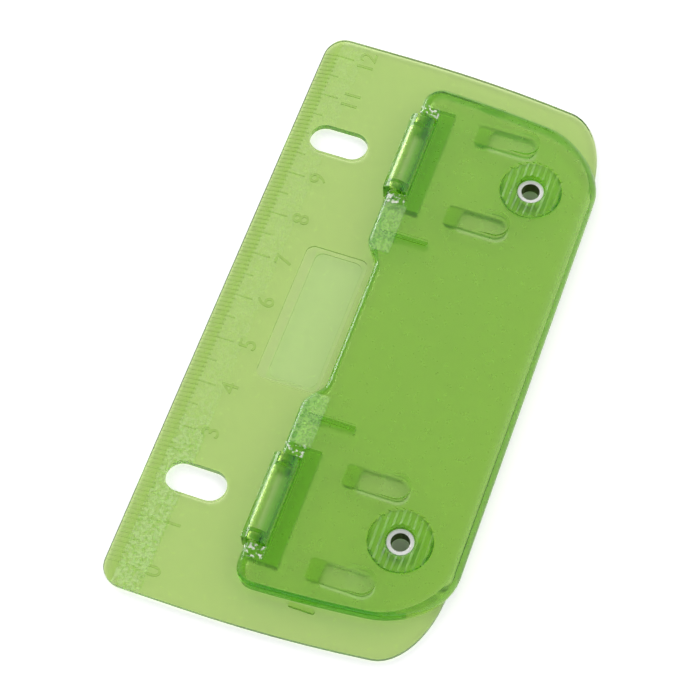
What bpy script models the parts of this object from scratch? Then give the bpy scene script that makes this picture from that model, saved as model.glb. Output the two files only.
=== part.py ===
"""Slim pocket hole punch with a ruler along one edge.

A thin base plate carries the scale, two filing slots, a label recess, two hinge barrels, four paper stops
with hold-down fingers and two die holes. A flat press lever lies over the other half of the plate, holds
two hollow steel punches and turns up on stubs that sit in the ends of the barrels. Metres, +Z up, +Y along
the ruler, origin under the middle.
"""

import math

import bmesh
import bpy

# Hole pattern of a ring binder sheet
HOLE_SPACING = 0.080
HOLE_MARGIN = 0.012
HOLE_DIAMETER = 0.0055

# Gaps between neighbouring pieces, and the length that a cutter runs past what it cuts
PAPER_GAP = 0.0003
RUNNING_GAP = 0.0003
PRESSED_GAP = 0.00015
STUB_GAP = 0.00008
JOIN_DEPTH = 0.0004
CUT_OVERRUN = 0.002

# Base plate, which reaches past the lever's ends and past the punches
BASE_END_REACH = 0.0071
BASE_FRONT_REACH = 0.0113
BASE_THICKNESS = 0.0015
BASE_LEFT_CORNER = 0.0045
BASE_RIGHT_CORNER_WIDTH = 0.0092
BASE_RIGHT_CORNER_LENGTH = 0.0155
BASE_EDGE_ROUND = 0.0003
END_BOW_START = 0.018
END_BOW_RADIUS = 0.290

# Ruler scale, whose tick lengths run from the plate's left edge
CENTIMETRE = 0.010
FINE_TICKS = 10
SCALE_END_MARGIN = 0.0030
RULER_BEVEL_WIDTH = 0.0028
RULER_EDGE_THICKNESS = 0.0008
TICK_INSET = 0.0002
FINE_TICK_REACH = 0.0034
HALF_TICK_REACH = 0.0050
FULL_TICK_REACH = 0.0067
SLOT_TICK_REACH = 0.0040
TICK_WIDTH = 0.00025
TICK_HEIGHT = 0.00012

# Filing slots and label recess
FILING_SLOT_X = 0.0105
FILING_SLOT_LENGTH = 0.0123
FILING_SLOT_WIDTH = 0.0064
LABEL_LEFT_X = 0.0130
LABEL_WIDTH = 0.0130
LABEL_LENGTH = 0.0309
LABEL_CORNER = 0.0018
LABEL_DEPTH = 0.0003
LABEL_STEP_WIDTH = 0.0022
LABEL_STEP_DEPTH = 0.0002

# Hinges, whose barrels have a flat crown that rises above the closed lever
HINGE_AXIS_X = 0.0258
HINGE_AXIS_HEIGHT = 0.0038
BARREL_LENGTH = 0.0186
BARREL_WIDTH = 0.0049
BARREL_CROWN_RISE = 0.0012
BARREL_CHAMFER = 0.0002
BARREL_TOP_WALL = 0.0014
BARREL_SIDE_WALL = 0.0010
BARREL_END_WALL = 0.0026
STUB_DIAMETER = 0.0024
STUB_LENGTH = 0.0015
STUB_CHAMFER = 0.0003
EAR_THICKNESS = 0.0027
HINGE_BLOCK_WIDTH = 0.0028
HINGE_BLOCK_INSET = 0.0001

# Paper stops and the fingers that hold the sheet down beside each punch
STOP_FROM_HINGE = 0.0139
STOP_DEPTH = 0.0027
STOP_INSET = 0.0001
FINGER_SPACING = 0.020
FINGER_LENGTH = 0.0102
FINGER_WIDTH = 0.0046
FINGER_CORNER = 0.0008
FINGER_EDGE_ROUND = 0.0003
FINGER_GAP = 0.0009
PAPER_SLOT = 0.0006
WINDOW_MARGIN = 0.0002

# Catch ridges beside the lever's two ends
CATCH_FROM_HINGE = 0.0126
CATCH_LENGTH = 0.0052
CATCH_WIDTH = 0.0009
CATCH_CORNER = 0.0004
CATCH_EDGE_ROUND = 0.0003
CATCH_HEIGHT = 0.0010
CATCH_GAP = 0.0004

# Press lever, which reaches a little past the hinge axis
LEVER_END_REACH = 0.01745
LEVER_HEEL = 0.0014
LEVER_OVERHANG = 0.0014
LEVER_TOP_HEIGHT = 0.0052
LEVER_PLATE_THICKNESS = 0.00125
LEVER_WALL = 0.0010
LEVER_FRONT_WALL = 0.0018
LEVER_HEEL_WALL = 0.0016
LEVER_LEFT_CORNER = 0.004
LEVER_RIGHT_CORNER_WIDTH = 0.014
LEVER_RIGHT_CORNER_LENGTH = 0.011
LEVER_EDGE_ROUND = 0.0012
LEVER_FRONT_ROUND_SHARE = 0.82
LEVER_RIM_ROUND = 0.0003
INDENT_DEPTH = 0.0032
INDENT_FROM_PUNCH = 0.0265
INDENT_RAMP = 0.006

# Raised fields over the fingers, grip discs, punch bosses and stiffening ribs of the lever
FIELD_MARGIN = 0.0004
FIELD_HEIGHT = 0.0005
FIELD_RAMP = 0.0095
GRIP_DIAMETER = 0.0126
GROOVE_PITCH = 0.0013
GROOVE_WIDTH = 0.0011
GROOVE_FLOOR_SHARE = 0.1
GROOVE_DEPTH = 0.0003
BOSS_HEIGHT = 0.0012
BOSS_CHAMFER = 0.0006
MOUTH_DEPTH = 0.0008
MOUTH_FLARE = 0.0004
RIB_FROM_PUNCH = 0.0187
RIB_LENGTH = 0.0100
RIB_WIDTH = 0.0013
RIB_HEIGHT = 0.0018
RIDGE_HEIGHT = 0.0002
RIDGE_LENGTH = 0.0070

# Hollow punches
PUNCH_BORE = 0.0037
PUNCH_TOP_RECESS = 0.0011
PUNCH_TIP_HEIGHT = 0.0003
PUNCH_RIM_CHAMFER = 0.00015
PUNCH_EDGE_LENGTH = 0.0008
PUNCH_EDGE_WIDTH = 0.0001

# Faces round each curve, and how near two points count as one
SAME_POINT = 0.00001
CORNER_STEPS = 12
SMALL_CORNER_STEPS = 6
BOW_STEPS = 8
ROUND_STEPS = 5
SMALL_ROUND_STEPS = 2
RAMP_STEPS = 10
TURN_STEPS = 40
SHARP_ANGLE = math.radians(28)

# Sizes and places worked out from those above
LEVER_LENGTH = HOLE_SPACING + 2 * LEVER_END_REACH
BASE_LENGTH = LEVER_LENGTH + 2 * BASE_END_REACH
LEVER_BOW_RADIUS = END_BOW_RADIUS - BASE_END_REACH
SCALE_CENTIMETRES = int((BASE_LENGTH - 2 * SCALE_END_MARGIN) / CENTIMETRE)
PAPER_STOP_X = HINGE_AXIS_X + STOP_FROM_HINGE
PUNCH_X = PAPER_STOP_X + HOLE_MARGIN
PUNCH_RADIUS = HOLE_DIAMETER / 2
BASE_WIDTH = PUNCH_X + BASE_FRONT_REACH
OVERALL_WIDTH = BASE_WIDTH + LEVER_OVERHANG
STUB_RADIUS = STUB_DIAMETER / 2
BARREL_HALF_WIDTH = BARREL_WIDTH / 2
BARREL_CROWN_RADIUS = (BARREL_HALF_WIDTH**2 + BARREL_CROWN_RISE**2) / (2 * BARREL_CROWN_RISE)
BARREL_SWEEP = math.hypot(BARREL_HALF_WIDTH, LEVER_TOP_HEIGHT - HINGE_AXIS_HEIGHT)
LEVER_RIM_HEIGHT = BASE_THICKNESS + PAPER_GAP
LEVER_CEILING = LEVER_TOP_HEIGHT - LEVER_PLATE_THICKNESS
LEVER_FRONT_ROUND = (LEVER_TOP_HEIGHT - LEVER_RIM_HEIGHT) * LEVER_FRONT_ROUND_SHARE
LEVER_LEFT_X = HINGE_AXIS_X - LEVER_HEEL
FINGER_TOP = LEVER_CEILING - FINGER_GAP
EAR_START = BARREL_LENGTH / 2 + RUNNING_GAP
EAR_END = EAR_START + EAR_THICKNESS
STUB_TIP = BARREL_LENGTH / 2 - STUB_LENGTH
HINGE_BLOCK_RIGHT_X = HINGE_AXIS_X + BARREL_SWEEP + RUNNING_GAP + HINGE_BLOCK_WIDTH
STATIONS = (-HOLE_SPACING / 2, HOLE_SPACING / 2)


def across(distance):
    """The X coordinate of a point at this distance from the ruler's edge."""
    return distance - OVERALL_WIDTH / 2


def clear_scene():
    for item in list(bpy.data.objects):
        bpy.data.objects.remove(item)


def material(name, colour, roughness, metallic, transmission):
    made = bpy.data.materials.new(name)
    made.use_nodes = True
    made.diffuse_color = (*colour, 1)
    shader = made.node_tree.nodes["Principled BSDF"]
    shader.inputs["Base Color"].default_value = (*colour, 1)
    shader.inputs["Roughness"].default_value = roughness
    shader.inputs["Metallic"].default_value = metallic
    shader.inputs["Transmission Weight"].default_value = transmission
    return made


def solid(name, bm):
    """An object made of one closed mesh, with its faces pointing out."""
    bmesh.ops.recalc_face_normals(bm, faces=bm.faces)
    mesh = bpy.data.meshes.new(name)
    bm.to_mesh(mesh)
    bm.free()
    made = bpy.data.objects.new(name, mesh)
    bpy.context.scene.collection.objects.link(made)
    return made


def combine(target, tool, operation):
    """Cuts the tool out of the target, or joins it on, and removes the tool."""
    modifier = target.modifiers.new(operation.title(), "BOOLEAN")
    modifier.operation = operation
    modifier.object = tool
    bpy.context.view_layer.update()
    graph = bpy.context.evaluated_depsgraph_get()
    result = bpy.data.meshes.new_from_object(target.evaluated_get(graph))
    target.modifiers.clear()
    target.data = result
    bpy.data.objects.remove(tool)


def cut(target, tool):
    combine(target, tool, "DIFFERENCE")


def join(target, tool):
    combine(target, tool, "UNION")


def finish(piece, own_material):
    piece.data.materials.clear()
    piece.data.materials.append(own_material)
    piece.data.shade_smooth()
    piece.data.set_sharp_from_angle(angle=SHARP_ANGLE)
    return piece


def arc(centre, radius, start, end, steps):
    """Points on an arc from one angle to another, both ends included."""
    angles = [start + (end - start) * step / steps for step in range(steps + 1)]
    return [(centre[0] + radius * math.cos(a), centre[1] + radius * math.sin(a)) for a in angles]


def skin(rings):
    """A closed mesh through rings of equally many points, with a flat face on the first and the last."""
    bm = bmesh.new()
    add_skin(bm, rings)
    return bm


def add_skin(bm, rings):
    """The same, added to a mesh that may hold other closed skins."""
    loops = [[bm.verts.new(point) for point in ring] for ring in rings]
    for first, second in zip(loops, loops[1:]):
        for index in range(len(first)):
            bm.faces.new((first[index - 1], first[index], second[index], second[index - 1]))
    bm.faces.new(loops[0])
    bm.faces.new(reversed(loops[-1]))


def upright_prism(name, outline, low, high):
    """A prism with this outline in X and Y."""
    return solid(name, skin([[(x, y, z) for x, y in outline] for z in (low, high)]))


def lengthwise_prism(name, outline, low, high):
    """A prism with this outline in X and Z, from one Y to another."""
    return solid(name, skin([[(x, y, z) for x, z in outline] for y in (low, high)]))


def rectangle(left, right, low, high):
    return [(left, low), (right, low), (right, high), (left, high)]


def block(name, left, right, front, back, low, high):
    return upright_prism(name, rectangle(left, right, front, back), low, high)


def arch(centre, radius, foot):
    """An outline in X and Z: a half circle on two straight sides that go down to a foot."""
    legs = [(centre[0] - radius, foot), (centre[0] + radius, foot)]
    return arc(centre, radius, 0, math.pi, TURN_STEPS // 2) + legs


def crowned(middle, half_width, crown_radius, top, foot):
    """An outline in X and Z: a flat arc on two straight sides that go down to a foot."""
    half_angle = math.asin(half_width / crown_radius)
    centre = (middle, top - crown_radius)
    crown = arc(centre, crown_radius, math.pi / 2 - half_angle, math.pi / 2 + half_angle, CORNER_STEPS)
    return crown + [(middle - half_width, foot), (middle + half_width, foot)]


def without_repeats(points):
    """The outline without any point that lies on the one before it."""
    return [point for index, point in enumerate(points) if math.dist(points[index - 1], point) > SAME_POINT]


def rounded_rectangle(left, right, low, high, left_radius, right_radius, steps=CORNER_STEPS):
    """A rectangle whose left corners have one radius and whose right corners have another."""
    corners = [
        (right - right_radius, low + right_radius, right_radius),
        (right - right_radius, high - right_radius, right_radius),
        (left + left_radius, high - left_radius, left_radius),
        (left + left_radius, low + left_radius, left_radius),
    ]
    points = []
    for turn, (x, y, radius) in enumerate(corners):
        start = (turn - 1) * math.pi / 2
        points += arc((x, y), radius, start, start + math.pi / 2, steps)
    return without_repeats(points)


def turned_rings(profile, centre, along_y):
    """Rings of a profile of (radius, height) pairs, turned about an axis along Z, or along Y."""
    rings = []
    for radius, height in profile:
        circle = [2 * math.pi * step / TURN_STEPS for step in range(TURN_STEPS)]
        offsets = [(radius * math.cos(a), radius * math.sin(a)) for a in circle]
        if along_y:
            rings.append([(centre[0] + u, height, centre[1] + v) for u, v in offsets])
        else:
            rings.append([(centre[0] + u, centre[1] + v, height) for u, v in offsets])
    return rings


def turned(name, profile, centre, along_y=False):
    return solid(name, skin(turned_rings(profile, centre, along_y)))


def tube(name, profile, centre):
    """A turned piece with a way through it: its profile goes round and meets itself."""
    rings = turned_rings(profile, centre, False)
    bm = bmesh.new()
    loops = [[bm.verts.new(point) for point in ring] for ring in rings]
    for first, second in zip(loops, loops[1:] + loops[:1]):
        for index in range(TURN_STEPS):
            bm.faces.new((first[index - 1], first[index], second[index], second[index - 1]))
    return solid(name, bm)


def bow_y(distance, half_length, bow_radius):
    """How far a plate reaches along Y, leaving out its corners, at this distance from the ruler's edge."""
    past_start = max(distance - END_BOW_START, 0)
    return half_length - bow_radius + math.sqrt(bow_radius**2 - past_start**2)


def bowed_end(left, right, half_length, bow_radius, left_corner, corner_width, corner_length):
    """The +Y end of a plate, from the left: a round corner, a bow and a larger oval corner."""
    places = []
    for step in range(CORNER_STEPS + 1):
        angle = math.pi / 2 * step / CORNER_STEPS
        places.append((left + left_corner * (1 - math.cos(angle)), left_corner * (1 - math.sin(angle))))
    span = right - corner_width - left - left_corner
    for step in range(1, BOW_STEPS):
        places.append((left + left_corner + span * step / BOW_STEPS, 0))
    for step in range(CORNER_STEPS + 1):
        angle = math.pi / 2 * step / CORNER_STEPS
        drop = corner_length * (1 - math.cos(angle))
        places.append((right - corner_width * (1 - math.sin(angle)), drop))
    outline = []
    for distance, drop in places:
        outline.append((across(distance), bow_y(distance, half_length, bow_radius) - drop))
    return outline


def both_ends(end, left_edge):
    """The whole outline, counter-clockwise: the end, its mirror image and the left edge's own points."""
    mirrored = [(x, -y) for x, y in reversed(end)]
    return list(reversed(end + mirrored + left_edge))


def inset(outline, distances):
    """The counter-clockwise outline with each point moved inwards by its own distance."""
    moved = []
    count = len(outline)
    for index, (x, y) in enumerate(outline):
        before = outline[index - 1]
        after = outline[(index + 1) % count]
        first = (before[1] - y, x - before[0])
        second = (y - after[1], after[0] - x)
        first = [part / math.hypot(*first) for part in first]
        second = [part / math.hypot(*second) for part in second]
        share = distances[index] / (1 + first[0] * second[0] + first[1] * second[1])
        moved.append((x + (first[0] + second[0]) * share, y + (first[1] + second[1]) * share))
    return moved


def rounded_rings(outline, radii, height, upward, steps=ROUND_STEPS):
    """Rings round an edge of these radii: up to the flat face above, or from the flat face below."""
    rings = []
    for step in range(steps + 1):
        angle = math.pi / 2 * step / steps
        if upward:
            shares = (1 - math.cos(angle), math.sin(angle) - 1)
        else:
            shares = (1 - math.sin(angle), 1 - math.cos(angle))
        points = inset(outline, [radius * shares[0] for radius in radii])
        rings.append([(x, y, height + r * shares[1]) for (x, y), r in zip(points, radii)])
    return rings


def smooth_step(share):
    share = min(max(share, 0), 1)
    return (1 - math.cos(math.pi * share)) / 2


def base_outline():
    end = bowed_end(
        0,
        BASE_WIDTH,
        BASE_LENGTH / 2,
        END_BOW_RADIUS,
        BASE_LEFT_CORNER,
        BASE_RIGHT_CORNER_WIDTH,
        BASE_RIGHT_CORNER_LENGTH,
    )
    return both_ends(end, [])


def lever_outline():
    """The lever's ends run alongside the plate's, and its left edge steps in between the two hinges."""
    end = bowed_end(
        LEVER_LEFT_X,
        OVERALL_WIDTH,
        LEVER_LENGTH / 2,
        LEVER_BOW_RADIUS,
        LEVER_LEFT_CORNER,
        LEVER_RIGHT_CORNER_WIDTH,
        LEVER_RIGHT_CORNER_LENGTH,
    )
    indent_end = HOLE_SPACING / 2 - INDENT_FROM_PUNCH
    ramp = []
    for step in range(RAMP_STEPS + 1):
        share = step / RAMP_STEPS
        depth = INDENT_DEPTH * smooth_step(share)
        ramp.append((across(LEVER_LEFT_X + depth), indent_end + INDENT_RAMP * (1 - share)))
    return both_ends(end, [(x, -y) for x, y in ramp] + list(reversed(ramp)))


def scale_tick(middle, reach):
    """The rings of a raised mark that follows the bevel down to the ruler's edge."""
    slope = (BASE_THICKNESS - RULER_EDGE_THICKNESS) / RULER_BEVEL_WIDTH
    start_height = RULER_EDGE_THICKNESS + slope * TICK_INSET
    outline = [
        (across(TICK_INSET), start_height - TICK_HEIGHT),
        (across(RULER_BEVEL_WIDTH), BASE_THICKNESS - TICK_HEIGHT),
        (across(reach), BASE_THICKNESS - TICK_HEIGHT),
        (across(reach), BASE_THICKNESS + TICK_HEIGHT),
        (across(RULER_BEVEL_WIDTH), BASE_THICKNESS + TICK_HEIGHT),
        (across(TICK_INSET), start_height + TICK_HEIGHT),
    ]
    return [[(x, middle + side * TICK_WIDTH / 2, z) for x, z in outline] for side in (-1, 1)]


def tick_reach(index, middle):
    """A whole centimetre's mark is the longest, unless a filing slot is in its way."""
    if index % FINE_TICKS == 0:
        if min(abs(middle - station) for station in STATIONS) < FILING_SLOT_WIDTH / 2:
            return SLOT_TICK_REACH
        return FULL_TICK_REACH
    return FINE_TICK_REACH if index % (FINE_TICKS / 2) else HALF_TICK_REACH


def add_scale(base):
    """A bevel down to the ruler's edge, with a raised mark for every millimetre."""
    bevel = [
        (across(RULER_BEVEL_WIDTH), BASE_THICKNESS),
        (across(RULER_BEVEL_WIDTH), BASE_THICKNESS + CUT_OVERRUN),
        (across(-CUT_OVERRUN), BASE_THICKNESS + CUT_OVERRUN),
        (across(-CUT_OVERRUN), RULER_EDGE_THICKNESS),
        (across(0), RULER_EDGE_THICKNESS),
    ]
    past_end = BASE_LENGTH / 2 + CUT_OVERRUN
    cut(base, lengthwise_prism("ruler_bevel", bevel, -past_end, past_end))
    ticks = bmesh.new()
    for index in range(FINE_TICKS * SCALE_CENTIMETRES + 1):
        middle = (index / FINE_TICKS - SCALE_CENTIMETRES / 2) * CENTIMETRE
        add_skin(ticks, scale_tick(middle, tick_reach(index, middle)))
    join(base, solid("ticks", ticks))


def cut_filing_slot(base, station):
    left = across(FILING_SLOT_X - FILING_SLOT_LENGTH / 2)
    half_width = FILING_SLOT_WIDTH / 2
    outline = rounded_rectangle(
        left, left + FILING_SLOT_LENGTH, station - half_width, station + half_width, half_width, half_width
    )
    cut(base, upright_prism("filing_slot", outline, -CUT_OVERRUN, BASE_THICKNESS + CUT_OVERRUN))


def cut_label_recess(base):
    """A shallow bare field for a label, a little deeper past a step at its left."""
    left = across(LABEL_LEFT_X)
    right = left + LABEL_WIDTH
    half_length = LABEL_LENGTH / 2
    top = BASE_THICKNESS + CUT_OVERRUN
    field = rounded_rectangle(left, right, -half_length, half_length, LABEL_CORNER, LABEL_CORNER)
    cut(base, upright_prism("label_field", field, BASE_THICKNESS - LABEL_DEPTH, top))
    left += LABEL_STEP_WIDTH
    right -= LABEL_CORNER / 2
    half_length -= LABEL_CORNER / 2
    inner = rounded_rectangle(left, right, -half_length, half_length, LABEL_CORNER, LABEL_CORNER)
    floor = BASE_THICKNESS - LABEL_DEPTH - LABEL_STEP_DEPTH
    cut(base, upright_prism("label_floor", inner, floor, top))


def add_barrel(base, station):
    """A hinge barrel, crowned above and hollow below, with a socket for a stub in each end."""
    centre = (across(HINGE_AXIS_X), HINGE_AXIS_HEIGHT)
    foot = BASE_THICKNESS - JOIN_DEPTH
    top = LEVER_TOP_HEIGHT + BARREL_CROWN_RISE
    outlines = []
    for less in (0, BARREL_CHAMFER):
        half_width = BARREL_HALF_WIDTH - less
        outlines.append(crowned(centre[0], half_width, BARREL_CROWN_RADIUS - less, top - less, foot))
    full, narrow = outlines
    half_length = BARREL_LENGTH / 2
    places = [
        (narrow, -half_length),
        (full, BARREL_CHAMFER - half_length),
        (full, half_length - BARREL_CHAMFER),
        (narrow, half_length),
    ]
    join(base, solid("barrel", skin([[(x, station + y, z) for x, z in outline] for outline, y in places])))
    half_width = BARREL_HALF_WIDTH - BARREL_SIDE_WALL
    crown_radius = BARREL_CROWN_RADIUS - BARREL_TOP_WALL
    hollow = crowned(centre[0], half_width, crown_radius, top - BARREL_TOP_WALL, -CUT_OVERRUN)
    reach = half_length - BARREL_END_WALL
    cut(base, lengthwise_prism("barrel_hollow", hollow, station - reach, station + reach))
    socket = STUB_RADIUS + STUB_GAP
    for side in (-1, 1):
        ends = (station + side * (STUB_TIP - RUNNING_GAP), station + side * (half_length + CUT_OVERRUN))
        cut(base, turned("socket", [(socket, y) for y in ends], centre, along_y=True))


def finger_outline(station, start, margin):
    """A finger's shape in plan, grown by a margin: nearly square at its start and round at its tip."""
    half_width = FINGER_WIDTH / 2 + margin
    end = across(PAPER_STOP_X) + FINGER_LENGTH + margin
    low = station - half_width
    high = station + half_width
    return rounded_rectangle(start, end, low, high, FINGER_CORNER, half_width, SMALL_CORNER_STEPS)


def finger_stations(station):
    return [station - FINGER_SPACING / 2, station + FINGER_SPACING / 2]


def add_paper_stop(base, station):
    """A post that the sheet's edge meets, and a finger over the sheet, with a moulding window below it."""
    right = across(PAPER_STOP_X)
    left = right - STOP_DEPTH + STOP_INSET
    window = finger_outline(station, right + WINDOW_MARGIN, WINDOW_MARGIN)
    cut(base, upright_prism("window", window, -CUT_OVERRUN, BASE_THICKNESS + CUT_OVERRUN))
    half_width = FINGER_WIDTH / 2 - STOP_INSET
    front = station - half_width
    back = station + half_width
    post = rounded_rectangle(left, right, front, back, FINGER_CORNER, FINGER_CORNER, SMALL_CORNER_STEPS)
    low = BASE_THICKNESS + PAPER_SLOT
    join(base, upright_prism("stop", post, BASE_THICKNESS - JOIN_DEPTH, low + JOIN_DEPTH))
    finger = finger_outline(station, right - STOP_DEPTH, 0)
    radii = [FINGER_EDGE_ROUND] * len(finger)
    rings = rounded_rings(finger, radii, low, False, SMALL_ROUND_STEPS)
    rings += rounded_rings(finger, radii, FINGER_TOP, True, SMALL_ROUND_STEPS)
    join(base, solid("finger", skin(rings)))


def add_catch(base, side):
    """A round-ended ridge just past the lever's end."""
    middle = HINGE_AXIS_X + CATCH_FROM_HINGE
    near = bow_y(middle, LEVER_LENGTH / 2, LEVER_BOW_RADIUS) + CATCH_GAP
    left = across(middle - CATCH_LENGTH / 2)
    low, high = sorted((side * near, side * (near + CATCH_WIDTH)))
    outline = rounded_rectangle(
        left, left + CATCH_LENGTH, low, high, CATCH_CORNER, CATCH_CORNER, SMALL_CORNER_STEPS
    )
    rings = [[(x, y, BASE_THICKNESS - JOIN_DEPTH) for x, y in outline]]
    radii = [CATCH_EDGE_ROUND] * len(outline)
    rings += rounded_rings(outline, radii, BASE_THICKNESS + CATCH_HEIGHT, True, SMALL_ROUND_STEPS)
    join(base, solid("catch", skin(rings)))


def make_base_plate():
    outline = base_outline()
    radii = [BASE_EDGE_ROUND] * len(outline)
    rings = rounded_rings(outline, radii, 0, False) + rounded_rings(outline, radii, BASE_THICKNESS, True)
    base = solid("base_plate", skin(rings))
    add_scale(base)
    cut_label_recess(base)
    for station in STATIONS:
        cut_filing_slot(base, station)
        add_barrel(base, station)
        for place in finger_stations(station):
            add_paper_stop(base, place)
        die = PUNCH_RADIUS + RUNNING_GAP
        die_profile = [(die, -CUT_OVERRUN), (die, BASE_THICKNESS + CUT_OVERRUN)]
        cut(base, turned("die_hole", die_profile, (across(PUNCH_X), station)))
    for side in (-1, 1):
        add_catch(base, side)
    return finish(base, material("pale_green_plastic", (0.43, 0.62, 0.21), 0.12, 0, 0.9))


def lever_shell():
    """A shallow tray upside down.

    Its upper edge is rounded, most of all along the front. Its lower left edge is rounded as far in as the
    hinge axis, so that it clears the plate as the lever turns.
    """
    outline = lever_outline()
    walls = []
    top_radii = []
    rim_radii = []
    for x, _ in outline:
        front = smooth_step(1 - (across(OVERALL_WIDTH) - x) / LEVER_RIGHT_CORNER_WIDTH)
        top_radii.append(LEVER_EDGE_ROUND + (LEVER_FRONT_ROUND - LEVER_EDGE_ROUND) * front)
        heel = 1 - smooth_step((x - across(LEVER_LEFT_X)) / INDENT_DEPTH)
        rim_radii.append(LEVER_RIM_ROUND + (LEVER_HEEL - LEVER_RIM_ROUND) * heel)
        thicker = (LEVER_FRONT_WALL - LEVER_WALL) * front + (LEVER_HEEL_WALL - LEVER_WALL) * heel
        walls.append(LEVER_WALL + thicker)
    inner = inset(outline, walls)
    cavity = [[(x, y, z) for x, y in inner] for z in (LEVER_CEILING, LEVER_RIM_HEIGHT)]
    outside = rounded_rings(outline, rim_radii, LEVER_RIM_HEIGHT, False)
    outside += rounded_rings(outline, top_radii, LEVER_TOP_HEIGHT, True)
    return solid("press_lever", skin(cavity + outside))


def add_hinge_block(lever, station):
    """A solid bar beside each barrel, with an ear and a stub at both of the barrel's ends."""
    axis = (across(HINGE_AXIS_X), HINGE_AXIS_HEIGHT)
    heel = LEVER_HEEL - HINGE_BLOCK_INSET
    low = LEVER_RIM_HEIGHT + HINGE_BLOCK_INSET
    top = LEVER_CEILING + JOIN_DEPTH
    right = across(HINGE_BLOCK_RIGHT_X)
    outline = arc((axis[0], low + heel), heel, math.pi, math.pi * 3 / 2, CORNER_STEPS)
    outline += [(right, low), (right, top), (axis[0] - heel, top)]
    join(lever, lengthwise_prism("hinge_block", outline, station - EAR_END, station + EAR_END))
    hollow = arch(axis, BARREL_SWEEP + RUNNING_GAP, LEVER_RIM_HEIGHT - CUT_OVERRUN)
    cut(lever, lengthwise_prism("barrel_hollow", hollow, station - EAR_START, station + EAR_START))
    for side in (-1, 1):
        profile = [
            (STUB_RADIUS, station + side * (EAR_START + JOIN_DEPTH)),
            (STUB_RADIUS, station + side * (STUB_TIP + STUB_CHAMFER)),
            (STUB_RADIUS - STUB_CHAMFER, station + side * STUB_TIP),
        ]
        join(lever, turned("hinge_stub", profile, axis, along_y=True))


def field(name, station, margin, low, face):
    """A finger's outline, whose top climbs smoothly out of a face of the lever and then stays level."""
    start = across(PAPER_STOP_X)
    end = start + FINGER_LENGTH + FINGER_WIDTH
    outline = [(start - FINGER_WIDTH, low), (end, low), (end, face + FIELD_HEIGHT)]
    for step in reversed(range(RAMP_STEPS + 1)):
        share = step / RAMP_STEPS
        height = face - JOIN_DEPTH + (JOIN_DEPTH + FIELD_HEIGHT) * smooth_step(share)
        outline.append((start + FIELD_RAMP * share, height))
    outline.append((start - FINGER_WIDTH, face - JOIN_DEPTH))
    made = lengthwise_prism(name, outline, station - FINGER_WIDTH, station + FINGER_WIDTH)
    plan = finger_outline(station, start, margin)
    combine(made, upright_prism("plan", plan, low - CUT_OVERRUN, face + CUT_OVERRUN), "INTERSECT")
    return made


def add_raised_field(lever, station):
    """The lever's plate bulges up over each finger, above and below alike."""
    low = LEVER_TOP_HEIGHT - 2 * JOIN_DEPTH
    join(lever, field("field", station, FIELD_MARGIN, low, LEVER_TOP_HEIGHT))
    low = LEVER_CEILING - CUT_OVERRUN
    cut(lever, field("field_hollow", station, 0, low, LEVER_CEILING))


def cut_grip_disc(lever, station):
    """Parallel grooves across a disc round the punch, for the thumb."""
    radius = GRIP_DIAMETER / 2
    count = int(radius / GROOVE_PITCH)
    low = LEVER_TOP_HEIGHT - GROOVE_DEPTH
    high = LEVER_TOP_HEIGHT + CUT_OVERRUN
    for index in range(-count, count + 1):
        offset = index * GROOVE_PITCH
        reach = math.sqrt(radius**2 - offset**2)
        middle = across(PUNCH_X) + offset
        half_width = GROOVE_WIDTH / 2
        half_floor = half_width * GROOVE_FLOOR_SHARE
        outline = [(middle - half_floor, low), (middle + half_floor, low)]
        outline += [(middle + half_width, height) for height in (LEVER_TOP_HEIGHT, high)]
        outline += [(middle - half_width, height) for height in (high, LEVER_TOP_HEIGHT)]
        cut(lever, lengthwise_prism("groove", outline, station - reach, station + reach))


def add_punch_seat(lever, station):
    """A boss under the grip disc and a hole through both, with a flared mouth on top."""
    centre = (across(PUNCH_X), station)
    boss = GRIP_DIAMETER / 2
    low = LEVER_CEILING - BOSS_HEIGHT
    boss_profile = [(boss - BOSS_CHAMFER, low), (boss, low + BOSS_CHAMFER)]
    boss_profile.append((boss, LEVER_CEILING + JOIN_DEPTH))
    join(lever, turned("punch_boss", boss_profile, centre))
    seat = PUNCH_RADIUS + PRESSED_GAP
    flared = seat + MOUTH_FLARE
    mouth = LEVER_TOP_HEIGHT - MOUTH_DEPTH
    top = LEVER_TOP_HEIGHT + CUT_OVERRUN
    hole_profile = [(seat, 0), (seat, mouth), (flared, LEVER_TOP_HEIGHT), (flared, top)]
    cut(lever, turned("punch_seat", hole_profile, centre))


def add_rib(lever, side):
    """A stiffening rib under the plate beside each hinge, with a low ridge above it."""
    middle = side * (HOLE_SPACING / 2 - RIB_FROM_PUNCH)
    left = across(LEVER_LEFT_X) + LEVER_HEEL_WALL - JOIN_DEPTH
    right = left + RIB_LENGTH + JOIN_DEPTH
    front = middle - RIB_WIDTH / 2
    back = middle + RIB_WIDTH / 2
    low = LEVER_CEILING - RIB_HEIGHT
    join(lever, block("rib", left, right, front, back, low, LEVER_CEILING + JOIN_DEPTH))
    left = right - RIDGE_LENGTH
    low = LEVER_TOP_HEIGHT - JOIN_DEPTH
    join(lever, block("ridge", left, right, front, back, low, LEVER_TOP_HEIGHT + RIDGE_HEIGHT))


def make_press_lever():
    lever = lever_shell()
    for station in STATIONS:
        add_hinge_block(lever, station)
        for place in finger_stations(station):
            add_raised_field(lever, place)
        cut_grip_disc(lever, station)
        add_punch_seat(lever, station)
    for side in (-1, 1):
        add_rib(lever, side)
    return finish(lever, material("green_plastic", (0.24, 0.47, 0.07), 0.10, 0, 0.9))


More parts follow.
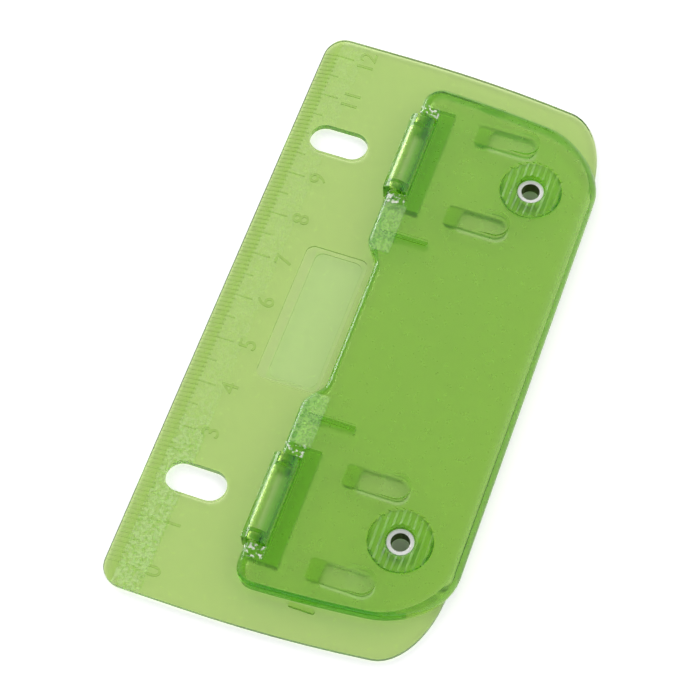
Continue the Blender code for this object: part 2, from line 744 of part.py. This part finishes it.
def make_punch_tubes():
    """Hollow steel punches, ground to a ring-shaped edge; the paper discs leave through their open tops."""
    bore = PUNCH_BORE / 2
    top = LEVER_TOP_HEIGHT - PUNCH_TOP_RECESS
    tip = PUNCH_TIP_HEIGHT
    profile = [
        (PUNCH_RADIUS, tip),
        (PUNCH_RADIUS, top - PUNCH_RIM_CHAMFER),
        (PUNCH_RADIUS - PUNCH_RIM_CHAMFER, top),
        (bore + PUNCH_RIM_CHAMFER, top),
        (bore, top - PUNCH_RIM_CHAMFER),
        (bore, tip + PUNCH_EDGE_LENGTH),
        (PUNCH_RADIUS - PUNCH_EDGE_WIDTH, tip),
    ]
    first = tube("punch_tube_zero_end", profile, (0, 0))
    finish(first, material("steel", (0.75, 0.75, 0.73), 0.2, 1, 0))
    second = bpy.data.objects.new("punch_tube_twelve_end", first.data)
    bpy.context.scene.collection.objects.link(second)
    for piece, station in zip((first, second), STATIONS):
        piece.location = (across(PUNCH_X), station, 0)
    return [first, second]


def hang_on_hinge(pieces):
    """Parents what turns to an empty on the hinge axis, without moving it."""
    axis = bpy.data.objects.new("hinge_axis", None)
    axis.location = (across(HINGE_AXIS_X), 0, HINGE_AXIS_HEIGHT)
    bpy.context.scene.collection.objects.link(axis)
    bpy.context.view_layer.update()
    for piece in pieces:
        piece.parent = axis
        piece.matrix_parent_inverse = axis.matrix_world.inverted()


def main():
    clear_scene()
    make_base_plate()
    hang_on_hinge([make_press_lever(), *make_punch_tubes()])


main()
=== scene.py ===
"""The looks of the pocket hole punch: clear green plastic, steel punches and a moulded ruler.

Lengths are in metres. The ruler's edge is on the left, at the lowest x, its scale runs along y
from 0 to 12 centimetres, and the plate lies on z = 0.
"""

import math

import bmesh
import bpy
from mathutils import Matrix, Vector

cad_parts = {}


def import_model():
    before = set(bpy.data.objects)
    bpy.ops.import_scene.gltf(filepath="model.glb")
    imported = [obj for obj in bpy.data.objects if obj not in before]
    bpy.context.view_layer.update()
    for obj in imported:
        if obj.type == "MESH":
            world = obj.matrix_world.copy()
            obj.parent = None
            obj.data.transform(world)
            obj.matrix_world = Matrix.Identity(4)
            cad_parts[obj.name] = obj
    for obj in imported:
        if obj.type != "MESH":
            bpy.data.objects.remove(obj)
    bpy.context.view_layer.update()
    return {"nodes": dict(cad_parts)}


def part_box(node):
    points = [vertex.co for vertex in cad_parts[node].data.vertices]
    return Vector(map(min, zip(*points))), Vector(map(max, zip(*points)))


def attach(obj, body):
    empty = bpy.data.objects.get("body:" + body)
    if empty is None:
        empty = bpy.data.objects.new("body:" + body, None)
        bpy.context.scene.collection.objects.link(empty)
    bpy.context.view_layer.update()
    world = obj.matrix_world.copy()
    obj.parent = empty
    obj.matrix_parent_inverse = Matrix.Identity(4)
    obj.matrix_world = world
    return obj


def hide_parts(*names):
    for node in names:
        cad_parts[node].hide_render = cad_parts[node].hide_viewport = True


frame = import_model()

PLATE_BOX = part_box("base_plate")
LEVER_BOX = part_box("press_lever")
LEFT = PLATE_BOX[0].x
PLATE_TOP = 0.0015
STATIONS = (-0.040, 0.040)
PUNCH_X = LEFT + 0.0517
HINGE_X = LEFT + 0.0258
BARREL_HOLLOW_HALF_WIDTH = 0.0015
BARREL_HOLLOW_REACH = 0.0069

# Camera, fitted to the photograph: degrees, metres and pixels
CAMERA_AZIMUTH = 22.388
CAMERA_ELEVATION = 63.408
CAMERA_ROLL = -2.961
CAMERA_DISTANCE = 0.425563
CAMERA_FOCAL_PIXELS = 2164.527
CAMERA_TARGET = (LEFT + 0.02856, -0.003552, 0.0)
CAMERA_CLIP = (0.01, 10)
PICTURE_SIDE = 700
SENSOR_WIDTH = 36.0

# The light tent: its strength, the near side's share of it, and its level by height
WORLD_STRENGTH = 1.15
WORLD_NEAR_SHARE = 0.5
WORLD_LEVELS = ((0.0, 1.0), (0.60, 1.0), (0.84, 0.62), (0.95, 0.22))

# The table, and its glow: through plastic or in a reflection, and when it is seen openly
FLOOR_HALF_SIDE = 3
FLOOR_Z = -0.0002
FLOOR_COLOUR = 0.98
FLOOR_GLOW = 0.25
FLOOR_OPEN_GLOW = 0.45
# The radius of the painted shadow: no glow below each die hole
DIE_RADIUS = 0.0031

# A low softbox on the left, whose middle lies in this direction from the punch
SOFTBOX_DIRECTION = Vector((-0.82, 0.45, 0.29))
SOFTBOX_DISTANCE = 0.8
SOFTBOX_WIDTH = 0.35
SOFTBOX_HEIGHT = 0.36
SOFTBOX_RADIANCE = 6.4

# How often light is followed through a surface or a reflection
MAX_BOUNCES = 32
GLOSSY_BOUNCES = 16
DIFFUSE_BOUNCES = 8

# What a millimetre of the plastic absorbs of red, green and blue, and the tint of its surface
BASE_ABSORB = (0.189, 0.070, 0.535)
BASE_TINT = (0.90, 0.90, 0.90)
LEVER_ABSORB = (0.252, 0.090, 0.595)
LEVER_TINT = (1.0, 1.0, 1.0)
MILLIMETRES_IN_METRE = 1000
PLASTIC_IOR = 1.45
POLISHED = 0.06
SATIN = 0.35
RIPPLE_SCALE = 260.0
RIPPLE_DETAIL = 2.0
RIPPLE_STRENGTH = 0.1
RIPPLE_DEPTH = 0.0002

# Grains: a noise's scale and detail, the part of its range that counts, and what that becomes
SHEEN_GRAIN = (900.0, 3.0, 0.3, 0.7, 0.7, 1.3)
FROST_GRAIN = (2600.0, 2.0, 0.40, 0.60, 0.15, 1.0)
SPECKLE_GRAIN = (1500.0, 2.0, 0.42, 0.60, 0.0, 1.0)
GLINT_GRAIN = (1300.0, 5.0, 0.53, 0.61, 0.0, 1.0)
STEEL_GRAIN = (4000.0, 3.0, 0.3, 0.7, 0.55, 0.75)

# How far each place below fades out, then the plate's places with a tint of their own, and the
# painted light and shade of its barrels and raised strokes
SOFT_EDGE = 0.0004
BEVEL_WIDTH = 0.0028
BEVEL_TINT = (0.78, 0.84, 0.61)
LABEL_X = (LEFT + 0.0152, LEFT + 0.0251)
LABEL_Y = (0.0, 0.0145)
LABEL_TINT = (0.84, 0.90, 0.80)
# The barrels: painted light on their left sides, turning to painted shade on their right halves
BARREL_X = (HINGE_X - 0.00245, HINGE_X + 0.00245)
BARREL_Y = (0.0307, 0.0493)
BARREL_TURN = (HINGE_X + 0.0001, HINGE_X + 0.0012)
BARREL_PAINTED_LIGHT = (1.0, 1.0, 1.0)
BARREL_PAINTED_SHADE = (0.33, 0.65, 0.15)
SCALE_WIDTH = 0.0127
STROKE_LIFT = 0.00002
# Painted shade on the raised numbers and marks
STROKE_PAINTED_SHADE = (0.64, 0.71, 0.53)

# Painted glints: a speckled band of the ruler, full at the zero end and weaker from the second y
# on
SPECKLE_X = (LEFT + 0.0031, LEFT + 0.0084)
SPECKLE_Y = (-0.033, -0.024)
SPECKLE_FAR_LEVEL = 0.3
PAINTED_GLINT_SPECKLE_TINT = (0.82, 0.93, 0.62)
SPECKLE_SHARE = 0.25

# Places of the lever with painted shade: the walls of its ends, less at the twelve end, and the
# grip discs
END_WALL_DEPTH = 0.004
FAR_WALL_SHARE = 0.45
END_WALL_PAINTED_SHADE = (0.34, 0.78, 0.26)
DISC_RADIUS = 0.0063
DISC_HEIGHT = 0.005
# Painted shade: a deeper green on the grip discs
DISC_PAINTED_SHADE = (0.98, 1.0, 0.72)

# Frosted patches of the lever beside its hinges, and the roughness of all frosted places and
# painted glints
FROST_X = (-0.0071, -0.0030)
FROST_Y = (0.0170, 0.0276)
FROST_TINT = (0.72, 1.0, 0.36)
FROST_SHARE = 0.34
FROSTED = 0.5

# Painted glints: near-white grains in the lever's ears, beside the barrels' ends
GLINT_X = (HINGE_X - 0.0022, HINGE_X + 0.0026)
GLINT_Y = ((0.0280, 0.0304), (0.0496, 0.0520))
GLINT_TINT = (1.0, 1.0, 0.92)
GLINT_SHARE = 0.8

# The punches: bright rims, and painted shade on the bore within this share of their radius
RIM_COLOUR = (0.97, 0.97, 0.95)
BORE_PAINTED_SHADE = (0.16, 0.21, 0.08)
BORE_SHARE = 0.75

# Raised numbers of the scale; a filing slot takes the place of those for 2 and 10
NUMBERS = (0, 1, 3, 4, 5, 6, 7, 8, 9, 11, 12)
NUMBER_X = LEFT + 0.00965
NUMBER_Y_SHIFT = 0.0003
NUMBER_SIZE = 0.0050
NUMBER_HEIGHT = 0.00015
NUMBER_ROOT = 0.0003
NUMBER_CURVE_STEPS = 4
CENTIMETRE = 0.010
SCALE_START = -0.060

# Meshes: the distance that joins corners, the angle that stays smooth, and where faces point
WELD_DISTANCE = 0.000001
SMOOTH_DEGREES = 36
DOWNWARD = -0.7
HOLLOW_SIDE = 0.3
WALL = 0.5


def clean_material(name):
    """A new material with nothing but its output."""
    made = bpy.data.materials.new(name)
    made.use_nodes = True
    tree = made.node_tree
    tree.nodes.clear()
    output = tree.nodes.new("ShaderNodeOutputMaterial")
    return made, tree, output


def noise(tree, scale, detail):
    texture = tree.nodes.new("ShaderNodeTexNoise")
    texture.inputs["Scale"].default_value = scale
    texture.inputs["Detail"].default_value = detail
    coordinates = tree.nodes.new("ShaderNodeTexCoord").outputs["Object"]
    tree.links.new(coordinates, texture.inputs["Vector"])
    return texture.outputs["Fac"]


def map_range(tree, value, from_low, from_high, to_low, to_high):
    node = tree.nodes.new("ShaderNodeMapRange")
    node.inputs["From Min"].default_value = from_low
    node.inputs["From Max"].default_value = from_high
    node.inputs["To Min"].default_value = to_low
    node.inputs["To Max"].default_value = to_high
    tree.links.new(value, node.inputs["Value"])
    return node.outputs["Result"]


def grain(tree, scale, detail, from_low, from_high, to_low, to_high):
    """A noise, with a part of its range stretched to another one."""
    return map_range(tree, noise(tree, scale, detail), from_low, from_high, to_low, to_high)


def calculate(tree, operation, *values):
    node = tree.nodes.new("ShaderNodeMath")
    node.operation = operation
    for value, entry in zip(values, node.inputs):
        tree.links.new(value, entry)
    return node.outputs["Value"]


def multiply(tree, first, second):
    return calculate(tree, "MULTIPLY", first, second)


def maximum(tree, first, second):
    return calculate(tree, "MAXIMUM", first, second)


def within(tree, value, low, high):
    """1 where a value lies between two bounds, falling to 0 over the soft edge outside them."""
    above = map_range(tree, value, low - SOFT_EDGE, low, 0, 1)
    below = map_range(tree, value, high, high + SOFT_EDGE, 1, 0)
    return multiply(tree, above, below)


def place_parts(tree):
    """The x, y and z of each place, and last its distance from the middle of the ruler."""
    place = tree.nodes.new("ShaderNodeSeparateXYZ")
    coordinates = tree.nodes.new("ShaderNodeTexCoord").outputs["Object"]
    tree.links.new(coordinates, place.inputs["Vector"])
    away = calculate(tree, "ABSOLUTE", place.outputs["Y"])
    return place.outputs["X"], place.outputs["Y"], place.outputs["Z"], away


def beside_punches(tree, place, height, radius):
    """0 within a radius of the two punches' axes at a height, and 1 elsewhere."""
    outside = None
    for station in STATIONS:
        gap = tree.nodes.new("ShaderNodeVectorMath")
        gap.operation = "DISTANCE"
        tree.links.new(place, gap.inputs[0])
        gap.inputs[1].default_value = (PUNCH_X, station, height)
        clear = map_range(tree, gap.outputs["Value"], radius, radius + SOFT_EDGE, 0, 1)
        outside = clear if outside is None else multiply(tree, outside, clear)
    return outside


def frost_mask(tree):
    """How frosted the lever is at each place: patches beside the hinges, with a fine grain."""
    x, _, _, away = place_parts(tree)
    inside = multiply(tree, within(tree, x, *FROST_X), within(tree, away, *FROST_Y))
    return multiply(tree, inside, grain(tree, *FROST_GRAIN))


def speckle_mask(tree):
    """Where the ruler carries painted glints as paler frosted grains: a band beside the bevel,
    with a fine grain.
    """
    x, y, _, _ = place_parts(tree)
    level = map_range(tree, y, *SPECKLE_Y, 1.0, SPECKLE_FAR_LEVEL)
    inside = multiply(tree, within(tree, x, *SPECKLE_X), level)
    return multiply(tree, inside, grain(tree, *SPECKLE_GRAIN))


def glint_mask(tree):
    """Painted glints: sparse near-white grains in the ears."""
    x, _, _, away = place_parts(tree)
    inner, outer = (within(tree, away, *band) for band in GLINT_Y)
    inside = multiply(tree, within(tree, x, *GLINT_X), maximum(tree, inner, outer))
    return multiply(tree, inside, grain(tree, *GLINT_GRAIN))


def mix_colour(tree, share, first, second):
    """A mix of two colours, each one a plain colour or another node's result."""
    node = tree.nodes.new("ShaderNodeMix")
    node.data_type = "RGBA"
    for name, colour in (("A", first), ("B", second)):
        if isinstance(colour, bpy.types.NodeSocket):
            tree.links.new(colour, node.inputs[name])
        else:
            node.inputs[name].default_value = (*colour, 1)
    tree.links.new(share, node.inputs["Factor"])
    return node.outputs["Result"]


def face_mark(tree, name):
    """The value that mark_faces has stored with each face."""
    mark = tree.nodes.new("ShaderNodeAttribute")
    mark.attribute_name = name
    return mark.outputs["Fac"]


def plate_colour(tree):
    """The plate's tint: bevel and label field differ from the rest; the barrels carry painted
    light on their left and painted shade on their right halves, and the raised strokes carry
    painted shade.
    """
    x, _, z, away = place_parts(tree)
    bevel = map_range(tree, x, LEFT + BEVEL_WIDTH, LEFT + BEVEL_WIDTH + SOFT_EDGE, 1, 0)
    colour = mix_colour(tree, bevel, BASE_TINT, BEVEL_TINT)
    label = multiply(tree, within(tree, x, *LABEL_X), within(tree, away, *LABEL_Y))
    colour = mix_colour(tree, label, colour, LABEL_TINT)
    barrel = multiply(tree, within(tree, x, *BARREL_X), within(tree, away, *BARREL_Y))
    raised = map_range(tree, z, PLATE_TOP, PLATE_TOP + SOFT_EDGE, 0, 1)
    barrel = multiply(tree, barrel, raised)
    # Painted light on the barrels' left sides, turning to painted shade on their right halves
    right_half = map_range(tree, x, *BARREL_TURN, 0, 1)
    turned = mix_colour(tree, right_half, BARREL_PAINTED_LIGHT, BARREL_PAINTED_SHADE)
    colour = mix_colour(tree, barrel, colour, turned)
    # Painted shade on the raised strokes
    return mix_colour(tree, face_mark(tree, "painted_shade"), colour, STROKE_PAINTED_SHADE)


def lever_colour(tree):
    """The lever's tint, with painted shade on its grip discs and on the walls of its ends."""
    place = tree.nodes.new("ShaderNodeTexCoord").outputs["Object"]
    elsewhere = beside_punches(tree, place, DISC_HEIGHT, DISC_RADIUS)
    # Painted shade on the grip discs
    colour = mix_colour(tree, elsewhere, DISC_PAINTED_SHADE, LEVER_TINT)
    # Painted shade on the walls of the lever's ends
    return mix_colour(tree, face_mark(tree, "painted_shade"), colour, END_WALL_PAINTED_SHADE)


def absorbing(tree, output, absorb):
    """Makes the inside of a material absorb these shares of red, green and blue per millimetre."""
    volume = tree.nodes.new("ShaderNodeVolumeAbsorption")
    density = max(absorb) * MILLIMETRES_IN_METRE
    colour = (1 - amount * MILLIMETRES_IN_METRE / density for amount in absorb)
    volume.inputs["Color"].default_value = (*colour, 1)
    volume.inputs["Density"].default_value = density
    tree.links.new(volume.outputs["Volume"], output.inputs["Volume"])


def plastic(name, absorb, tinted, frost_and_painted_glints):
    """Clear tinted plastic: polished, satin on marked faces, and absorbing along light's way.

    Each frosted patch and each painted glint comes as a mask, the tint of its places, and the
    share of light they scatter.
    """
    made, tree, output = clean_material(name)
    shader = tree.nodes.new("ShaderNodeBsdfPrincipled")
    shader.inputs["IOR"].default_value = PLASTIC_IOR
    sheen = map_range(tree, face_mark(tree, "satin"), 0, 1, POLISHED, SATIN)
    rough = multiply(tree, sheen, grain(tree, *SHEEN_GRAIN))
    colour = tinted(tree)
    clear = None
    for mask, tint, scattered in frost_and_painted_glints:
        scattering = mask(tree)
        colour = mix_colour(tree, scattering, colour, tint)
        rough = maximum(tree, rough, map_range(tree, scattering, 0, 1, 0, FROSTED))
        passing = map_range(tree, scattering, 0, 1, 1, 1 - scattered)
        clear = passing if clear is None else multiply(tree, clear, passing)
    tree.links.new(colour, shader.inputs["Base Color"])
    tree.links.new(clear, shader.inputs["Transmission Weight"])
    tree.links.new(rough, shader.inputs["Roughness"])
    ripple = tree.nodes.new("ShaderNodeBump")
    ripple.inputs["Strength"].default_value = RIPPLE_STRENGTH
    ripple.inputs["Distance"].default_value = RIPPLE_DEPTH
    tree.links.new(noise(tree, RIPPLE_SCALE, RIPPLE_DETAIL), ripple.inputs["Height"])
    tree.links.new(ripple.outputs["Normal"], shader.inputs["Normal"])
    tree.links.new(shader.outputs["BSDF"], output.inputs["Surface"])
    absorbing(tree, output, absorb)
    return made


def steel():
    """Bright steel, with a painted shade on the faces that are marked as the bore's."""
    made, tree, output = clean_material("punch_steel")
    shader = tree.nodes.new("ShaderNodeBsdfPrincipled")
    shader.inputs["Metallic"].default_value = 1
    colour = mix_colour(tree, face_mark(tree, "bore"), RIM_COLOUR, BORE_PAINTED_SHADE)
    tree.links.new(colour, shader.inputs["Base Color"])
    tree.links.new(grain(tree, *STEEL_GRAIN), shader.inputs["Roughness"])
    tree.links.new(shader.outputs["BSDF"], output.inputs["Surface"])
    return made


def add_to_scene(name, data):
    made = bpy.data.objects.new(name, data)
    bpy.context.scene.collection.objects.link(made)
    return made


def evaluated_mesh(target):
    """The mesh that an object's curves or modifiers give."""
    bpy.context.view_layer.update()
    graph = bpy.context.evaluated_depsgraph_get()
    return bpy.data.meshes.new_from_object(target.evaluated_get(graph))


def copy_of(node, name):
    """A copy of a CAD node, without its material."""
    mesh = frame["nodes"][node].data.copy()
    mesh.materials.clear()
    return add_to_scene(name, mesh)


def weld(target):
    """Joins the corners that lie on one another, and drops normals of the mesh's own."""
    bm = bmesh.new()
    bm.from_mesh(target.data)
    bmesh.ops.remove_doubles(bm, verts=bm.verts, dist=WELD_DISTANCE)
    bm.to_mesh(target.data)
    bm.free()
    if target.data.has_custom_normals:
        bpy.context.view_layer.objects.active = target
        bpy.ops.mesh.customdata_custom_splitnormals_clear()


def smooth(target):
    """Smooth shading up to an angle, with each corner's normal taken from its largest faces."""
    target.data.shade_smooth()
    target.data.set_sharp_from_angle(angle=math.radians(SMOOTH_DEGREES))
    weighted = target.modifiers.new("Weighted", "WEIGHTED_NORMAL")
    weighted.keep_sharp = True
    target.data = evaluated_mesh(target)
    target.modifiers.clear()


def is_satin(face):
    """Faces that look down, the grip discs, and the sides of the hollows in the barrels."""
    x, y, z = face.center
    away = min(abs(y - station) for station in STATIONS)
    in_barrel = abs(x - HINGE_X) < BARREL_HOLLOW_HALF_WIDTH and away < BARREL_HOLLOW_REACH
    in_hollow = in_barrel and face.normal.z < HOLLOW_SIDE
    on_disc = math.hypot(x - PUNCH_X, away) < DISC_RADIUS and z > DISC_HEIGHT - SOFT_EDGE
    return face.normal.z < DOWNWARD or on_disc or in_hollow


def is_stroke(face):
    """Faces of the plate's raised numbers and marks beside its bevel, which get a painted shade.
    """
    x, _, z = face.center
    return z > PLATE_TOP + STROKE_LIFT and LEFT + BEVEL_WIDTH < x < LEFT + SCALE_WIDTH


def is_end_wall(face):
    """Faces of the walls at the lever's two ends, which get a painted shade; the one at the twelve
    end is marked less.
    """
    y = face.center.y
    if abs(face.normal.y) < WALL or abs(y) < LEVER_BOX[1].y - END_WALL_DEPTH:
        return 0
    return 1 if y < 0 else FAR_WALL_SHARE


def mark_faces(target, name, mark):
    """Stores with each face what a function says of it."""
    values = target.data.attributes.new(name, "FLOAT", "FACE")
    for face in target.data.polygons:
        values.data[face.index].value = float(mark(face))


def mark_bore(tube):
    """Marks the faces near a punch's own axis, which are those of its bore."""
    centre = sum((vertex.co for vertex in tube.data.vertices), Vector()) / len(tube.data.vertices)
    reach = max((vertex.co - centre).xy.length for vertex in tube.data.vertices)

    def is_bore(face):
        near = (face.center - centre).xy.length < reach * BORE_SHARE
        return near and abs(face.normal.z) < WALL

    mark_faces(tube, "bore", is_bore)


def show_in_place(made, node, body, surface):
    """Shows a detailed copy instead of its CAD node."""
    weld(made)
    made.data.materials.append(surface)
    mark_faces(made, "satin", is_satin)
    smooth(made)
    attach(made, body)
    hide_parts(node)


def scale_number(value):
    """A raised number whose top points to the ruler's edge, as a mesh in place."""
    curve = bpy.data.curves.new("number", "FONT")
    curve.body = str(value)
    curve.size = NUMBER_SIZE
    curve.align_x = "CENTER"
    curve.align_y = "CENTER"
    curve.extrude = (NUMBER_HEIGHT + NUMBER_ROOT) / 2
    curve.resolution_u = NUMBER_CURVE_STEPS
    made = add_to_scene("number", curve)
    mesh = evaluated_mesh(made)
    bpy.data.objects.remove(made)
    y = SCALE_START + value * CENTIMETRE + NUMBER_Y_SHIFT
    z = PLATE_TOP + (NUMBER_HEIGHT - NUMBER_ROOT) / 2
    quarter_turn = Matrix.Rotation(math.pi / 2, 4, "Z")
    mesh.transform(Matrix.Translation((NUMBER_X, y, z)) @ quarter_turn)
    return mesh


def add_numbers(plate):
    """Joins the raised numbers to the plate, so that the plastic is one body."""
    bm = bmesh.new()
    for value in NUMBERS:
        mesh = scale_number(value)
        bm.from_mesh(mesh)
        bpy.data.meshes.remove(mesh)
    bmesh.ops.remove_doubles(bm, verts=bm.verts, dist=WELD_DISTANCE)
    bmesh.ops.recalc_face_normals(bm, faces=bm.faces)
    tool_mesh = bpy.data.meshes.new("numbers")
    bm.to_mesh(tool_mesh)
    bm.free()
    tool = add_to_scene("numbers", tool_mesh)
    weld(plate)
    modifier = plate.modifiers.new("Union", "BOOLEAN")
    modifier.operation = "UNION"
    modifier.object = tool
    joined = evaluated_mesh(plate)
    plate.modifiers.clear()
    plate.data = joined
    bpy.data.objects.remove(tool)


def camera():
    azimuth = math.radians(CAMERA_AZIMUTH)
    elevation = math.radians(CAMERA_ELEVATION)
    roll = math.radians(CAMERA_ROLL)
    back = Vector((
        math.sin(azimuth) * math.cos(elevation),
        -math.cos(azimuth) * math.cos(elevation),
        math.sin(elevation),
    ))
    ahead = -back
    right = ahead.cross(Vector((0, 0, 1))).normalized()
    up = right.cross(ahead)
    turned_right = right * math.cos(roll) + up * math.sin(roll)
    turned_up = up * math.cos(roll) - right * math.sin(roll)
    place = Vector(CAMERA_TARGET) + back * CAMERA_DISTANCE
    rotation = Matrix((turned_right, turned_up, back)).transposed().to_4x4()
    data = bpy.data.cameras.new("camera")
    data.sensor_width = SENSOR_WIDTH
    data.lens = CAMERA_FOCAL_PIXELS / PICTURE_SIDE * SENSOR_WIDTH
    data.clip_start, data.clip_end = CAMERA_CLIP
    made = add_to_scene("camera", data)
    made.matrix_world = Matrix.Translation(place) @ rotation
    bpy.context.scene.camera = made


def world():
    """A light tent, dimmer on the near side, and dim overhead, where the flat tops mirror it."""
    made = bpy.data.worlds.new("studio")
    bpy.context.scene.world = made
    made.use_nodes = True
    tree = made.node_tree
    tree.nodes.clear()
    output = tree.nodes.new("ShaderNodeOutputWorld")
    light = tree.nodes.new("ShaderNodeBackground")
    direction = tree.nodes.new("ShaderNodeTexCoord").outputs["Generated"]
    parts = tree.nodes.new("ShaderNodeSeparateXYZ")
    tree.links.new(direction, parts.inputs["Vector"])
    ramp = tree.nodes.new("ShaderNodeValToRGB")
    while len(ramp.color_ramp.elements) < len(WORLD_LEVELS):
        ramp.color_ramp.elements.new(0.5)  # anywhere, because each one's place is set below
    for element, (height, level) in zip(ramp.color_ramp.elements, WORLD_LEVELS):
        element.position = height
        element.color = (level, level, level, 1)
    tree.links.new(parts.outputs["Z"], ramp.inputs["Fac"])
    tree.links.new(ramp.outputs["Color"], light.inputs["Color"])
    near_strength = WORLD_STRENGTH * WORLD_NEAR_SHARE
    strength = map_range(tree, parts.outputs["Y"], -1, 0, near_strength, WORLD_STRENGTH)
    tree.links.new(strength, light.inputs["Strength"])
    tree.links.new(light.outputs["Background"], output.inputs["Surface"])


def floor():
    """A white table that keeps the punch's shadow and glows a little when it is seen.

    It doesn't glow below the die holes, a painted shadow that keeps the punches' bores dark.
    """
    mesh = bpy.data.meshes.new("floor")
    bm = bmesh.new()
    bmesh.ops.create_grid(bm, x_segments=1, y_segments=1, size=FLOOR_HALF_SIDE)
    bm.to_mesh(mesh)
    bm.free()
    made = add_to_scene("floor", mesh)
    made.location = (0, 0, FLOOR_Z)
    surface, tree, output = clean_material("white_table")
    shader = tree.nodes.new("ShaderNodeBsdfDiffuse")
    shader.inputs["Color"].default_value = (FLOOR_COLOUR, FLOOR_COLOUR, FLOOR_COLOUR, 1)
    glow = tree.nodes.new("ShaderNodeEmission")
    path = tree.nodes.new("ShaderNodeLightPath")
    seen = path.outputs["Is Camera Ray"]
    strength = map_range(tree, seen, 0, 1, FLOOR_GLOW, FLOOR_OPEN_GLOW)
    tree.links.new(strength, glow.inputs["Strength"])
    for name in ("Is Glossy Ray", "Is Transmission Ray"):
        seen = maximum(tree, seen, path.outputs[name])
    place = tree.nodes.new("ShaderNodeNewGeometry").outputs["Position"]
    seen = multiply(tree, seen, beside_punches(tree, place, 0, DIE_RADIUS))
    tree.links.new(mix_colour(tree, seen, (0, 0, 0), (1, 1, 1)), glow.inputs["Color"])
    both = tree.nodes.new("ShaderNodeAddShader")
    tree.links.new(shader.outputs["BSDF"], both.inputs[0])
    tree.links.new(glow.outputs["Emission"], both.inputs[1])
    tree.links.new(both.outputs["Shader"], output.inputs["Surface"])
    mesh.materials.append(surface)


def lamps():
    """A softbox, mirrored in surfaces turned to the left, and not seen through the plastic."""
    data = bpy.data.lights.new("softbox", "AREA")
    data.shape = "RECTANGLE"
    data.size = SOFTBOX_WIDTH
    data.size_y = SOFTBOX_HEIGHT
    data.energy = SOFTBOX_RADIANCE * math.pi * SOFTBOX_WIDTH * SOFTBOX_HEIGHT
    made = add_to_scene("softbox", data)
    made.location = SOFTBOX_DIRECTION.normalized() * SOFTBOX_DISTANCE
    made.rotation_euler = (-SOFTBOX_DIRECTION).to_track_quat("-Z", "Y").to_euler()
    made.visible_transmission = False


painted_glint_speckles = (speckle_mask, PAINTED_GLINT_SPECKLE_TINT, SPECKLE_SHARE)
scattering = (frost_mask, FROST_TINT, FROST_SHARE)
glints = (glint_mask, GLINT_TINT, GLINT_SHARE)
base_plastic = plastic("pale_green_plastic", BASE_ABSORB, plate_colour, (painted_glint_speckles,))
lever_plastic = plastic("green_plastic", LEVER_ABSORB, lever_colour, (scattering, glints))
metal = steel()

base_copy = copy_of("base_plate", "base_plate_moulding")
add_numbers(base_copy)
# The raised numbers and marks get a painted shade
mark_faces(base_copy, "painted_shade", is_stroke)
show_in_place(base_copy, "base_plate", "base", base_plastic)
lever_copy = copy_of("press_lever", "press_lever_moulding")
# The walls of the lever's ends get a painted shade
mark_faces(lever_copy, "painted_shade", is_end_wall)
show_in_place(lever_copy, "press_lever", "lever", lever_plastic)
for end_name in ("zero_end", "twelve_end"):
    tube_copy = copy_of("punch_tube_" + end_name, "punch_" + end_name)
    mark_bore(tube_copy)
    show_in_place(tube_copy, "punch_tube_" + end_name, "lever", metal)

world()
floor()
lamps()
camera()
bpy.context.scene.view_settings.view_transform = "Standard"
cycles = bpy.context.scene.cycles
cycles.max_bounces = MAX_BOUNCES
cycles.transmission_bounces = MAX_BOUNCES
cycles.glossy_bounces = GLOSSY_BOUNCES
cycles.diffuse_bounces = DIFFUSE_BOUNCES
cycles.blur_glossy = 0
